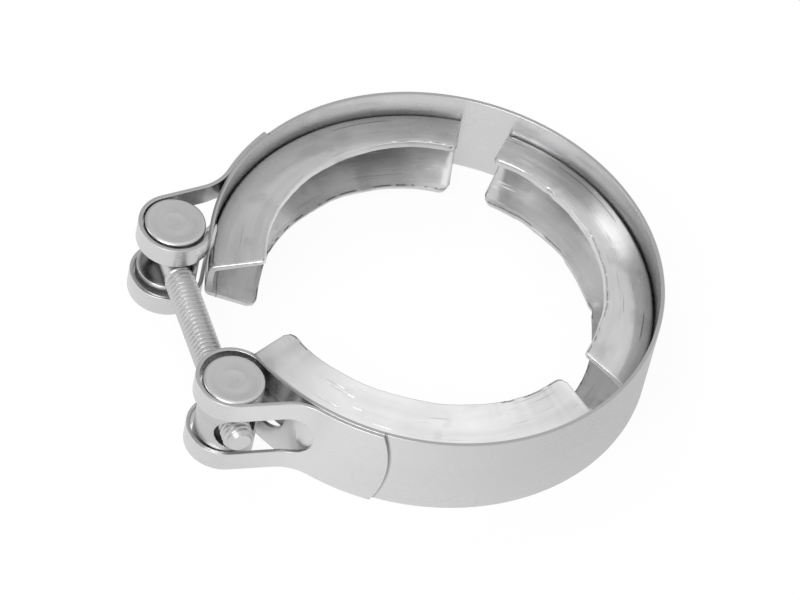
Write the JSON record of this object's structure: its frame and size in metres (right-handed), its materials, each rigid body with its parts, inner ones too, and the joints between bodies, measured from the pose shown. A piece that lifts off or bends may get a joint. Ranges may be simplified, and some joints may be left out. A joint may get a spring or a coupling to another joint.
{
  "type": "v-band exhaust clamp",
  "caption": "Round V-band clamp for turbocharger and exhaust flanges: a steel band with folded loops, inner V segments, trunnion pins and a tightening bolt.",
  "frame": {"origin": "on the ring's axis, halfway up the band's width", "axes": "+Z along the ring's axis; -Y through the opening between both loops; +X towards the trunnion that the bolt screws into"},
  "size_m": [0.089, 0.099, 0.019],
  "materials": {
    "band_steel": "satin stainless strip",
    "segment_steel": "pressed stainless sheet, slightly wavy",
    "turned_steel": "turned stainless bar",
    "bolt_steel": "rolled thread, satin"
  },
  "bodies": {
    "ring": {"band": "band_steel", "v_segment_head_side": "segment_steel", "v_segment_back": "segment_steel", "v_segment_nut_side": "segment_steel"},
    "nut_pin": {"nut_trunnion": "turned_steel"},
    "head_pin": {"head_trunnion": "turned_steel"},
    "screw": {"bolt": "bolt_steel"}
  },
  "joints": [
    {"name": "nut_trunnion_swivel", "type": "hinge", "parent": "ring", "child": "nut_pin", "pos_m": [0.01975, -0.04719, 0], "axis": [0, 0, 1], "range_deg": [-0.3, 0.3]},
    {"name": "bolt_turn", "type": "hinge", "parent": "nut_pin", "child": "screw", "pos_m": [0.01975, -0.04719, 0], "axis": [1, 0, 0], "continuous": true},
    {"name": "head_trunnion_swivel", "type": "hinge", "parent": "ring", "child": "head_pin", "pos_m": [-0.01975, -0.04719, 0], "axis": [0, 0, 1], "range_deg": [-2.4, 2.4]}
  ]
}
